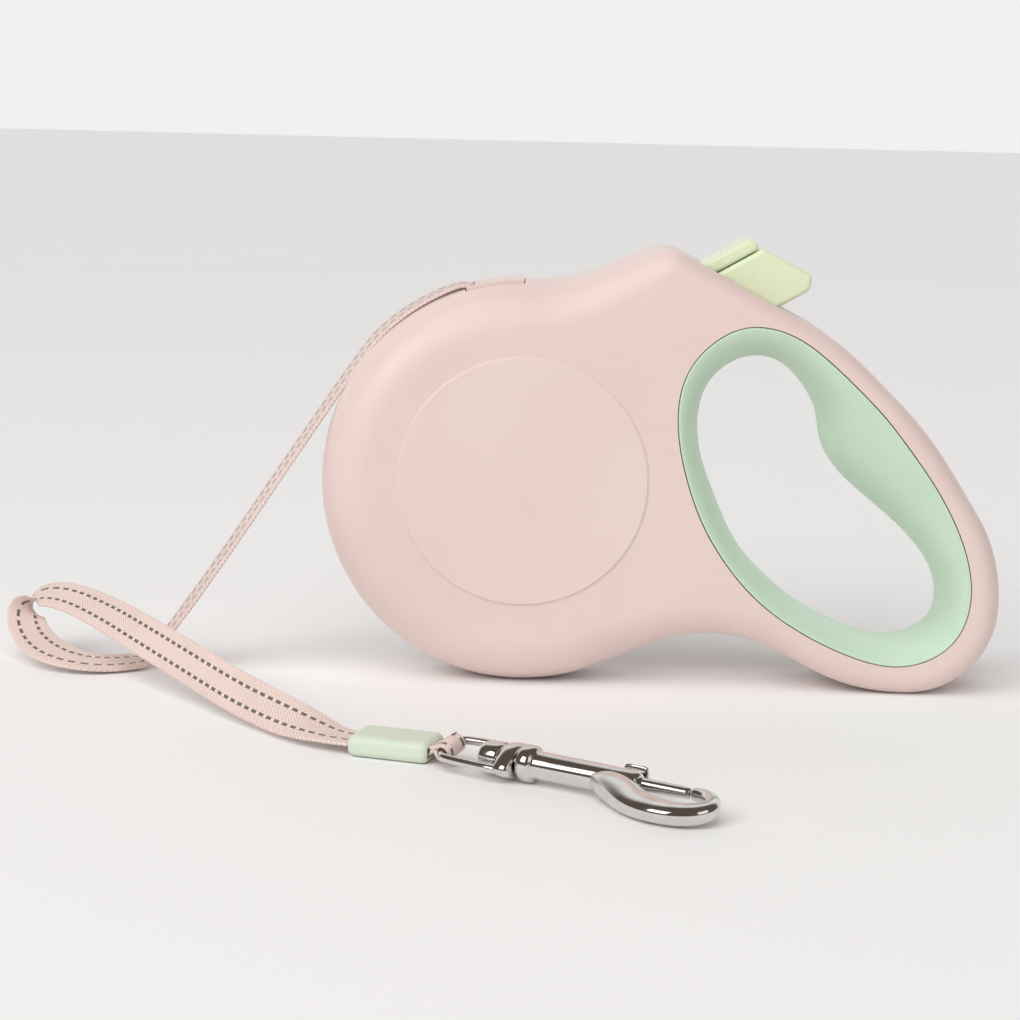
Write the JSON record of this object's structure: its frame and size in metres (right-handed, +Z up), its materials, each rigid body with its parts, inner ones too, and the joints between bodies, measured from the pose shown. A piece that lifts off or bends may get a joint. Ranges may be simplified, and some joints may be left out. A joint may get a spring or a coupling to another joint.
{
  "type": "retractable leash",
  "caption": "Retractable tape leash: round spring-reel housing with a loop handle, brake button, and a flat tape ending in a swivel snap hook.",
  "frame": {"origin": "bottom centre of the housing's bounding box, on the surface that it stands on", "axes": "+X from the reel towards the hand grip, -Y the front side, +Z up"},
  "size_m": [0.2534, 0.151, 0.112],
  "materials": {
    "housing_plastic": "smooth pale pink moulded plastic, soft sheen",
    "cap_plastic": "smooth pale pink moulded plastic, soft sheen",
    "grip_rubber": "pale green soft-touch grip, matt",
    "button_plastic": "pale lime plastic, satin",
    "lock_plastic": "pale green plastic, satin",
    "guide_plastic": "pale green plastic, satin",
    "inner_plastic": "off-white acetal, matt",
    "case_plastic": "dark glass-filled nylon, matt",
    "spring_steel": "blued spring strip",
    "wire_steel": "bright spring wire",
    "axle_steel": "ground steel",
    "screw_steel": "black-zinc steel",
    "tape_fabric": "woven pink-beige herringbone tape with two rows of dark dashes",
    "sleeve_rubber": "pale green moulded sleeve, satin",
    "snap_chrome": "polished chrome plating",
    "bolt_chrome": "polished chrome plating"
  },
  "bodies": {
    "housing": {"front_shell": "housing_plastic", "rear_shell": "housing_plastic", "front_cap": "cap_plastic", "rear_cap": "cap_plastic", "handle_grip": "grip_rubber", "mouth_guide": "guide_plastic", "axle": "axle_steel", "thrust_washers": "inner_plastic", "spring_case": "case_plastic", "spring_cover": "inner_plastic", "power_spring": "spring_steel", "button_spring": "wire_steel", "shell_screws": "screw_steel", "tape_lead": "tape_fabric", "leash_tape": "tape_fabric", "tape_eye_loop": "tape_fabric", "end_sleeve": "sleeve_rubber"},
    "spool": {"spool": "inner_plastic", "spool_disc": "inner_plastic", "tape_anchor_pin": "axle_steel", "tape_roll": "tape_fabric"},
    "brake": {"brake_button": "button_plastic", "brake_pawl": "inner_plastic"},
    "lock": {"lock_slider": "lock_plastic"},
    "eye": {"swivel_eye": "snap_chrome"},
    "snap": {"snap_body": "snap_chrome", "bolt_spring": "wire_steel"},
    "bolt": {"snap_bolt": "bolt_chrome", "bolt_stud": "bolt_chrome"}
  },
  "joints": [
    {"name": "spool_spin", "type": "hinge", "parent": "housing", "child": "spool", "pos_m": [-0.0346, 0, 0.0503], "axis": [0, -1, 0], "range_deg": [0, 7650], "stiffness_Nm_per_rad": 0.0004, "springref_deg": -6875.49, "deforming": ["power_spring"]},
    {"name": "brake_press", "type": "slide", "parent": "housing", "child": "brake", "axis": [-0.866, 0, -0.5], "range_m": [0, 0.003], "stiffness_N_per_m": 600, "springref_m": -0.003, "deforming": ["button_spring"]},
    {"name": "lock_slide", "type": "slide", "parent": "housing", "child": "lock", "axis": [-0.866, 0, -0.5], "range_m": [0, 0.003]},
    {"name": "eye_pivot", "type": "hinge", "parent": "housing", "child": "eye", "pos_m": [-0.04955, -0.08733, 0.0042], "axis": [0.5212, 0.8277, 0.2079], "range_deg": [-40, 40]},
    {"name": "snap_swivel", "type": "hinge", "parent": "eye", "child": "snap", "pos_m": [-0.03517, -0.09639, 0.0042], "axis": [0.8462, -0.5329, 0], "continuous": true},
    {"name": "bolt_slide", "type": "slide", "parent": "snap", "child": "bolt", "axis": [-0.8462, 0.5329, 0], "range_m": [0, 0.008], "stiffness_N_per_m": 300, "springref_m": -0.005, "deforming": ["bolt_spring"]}
  ]
}
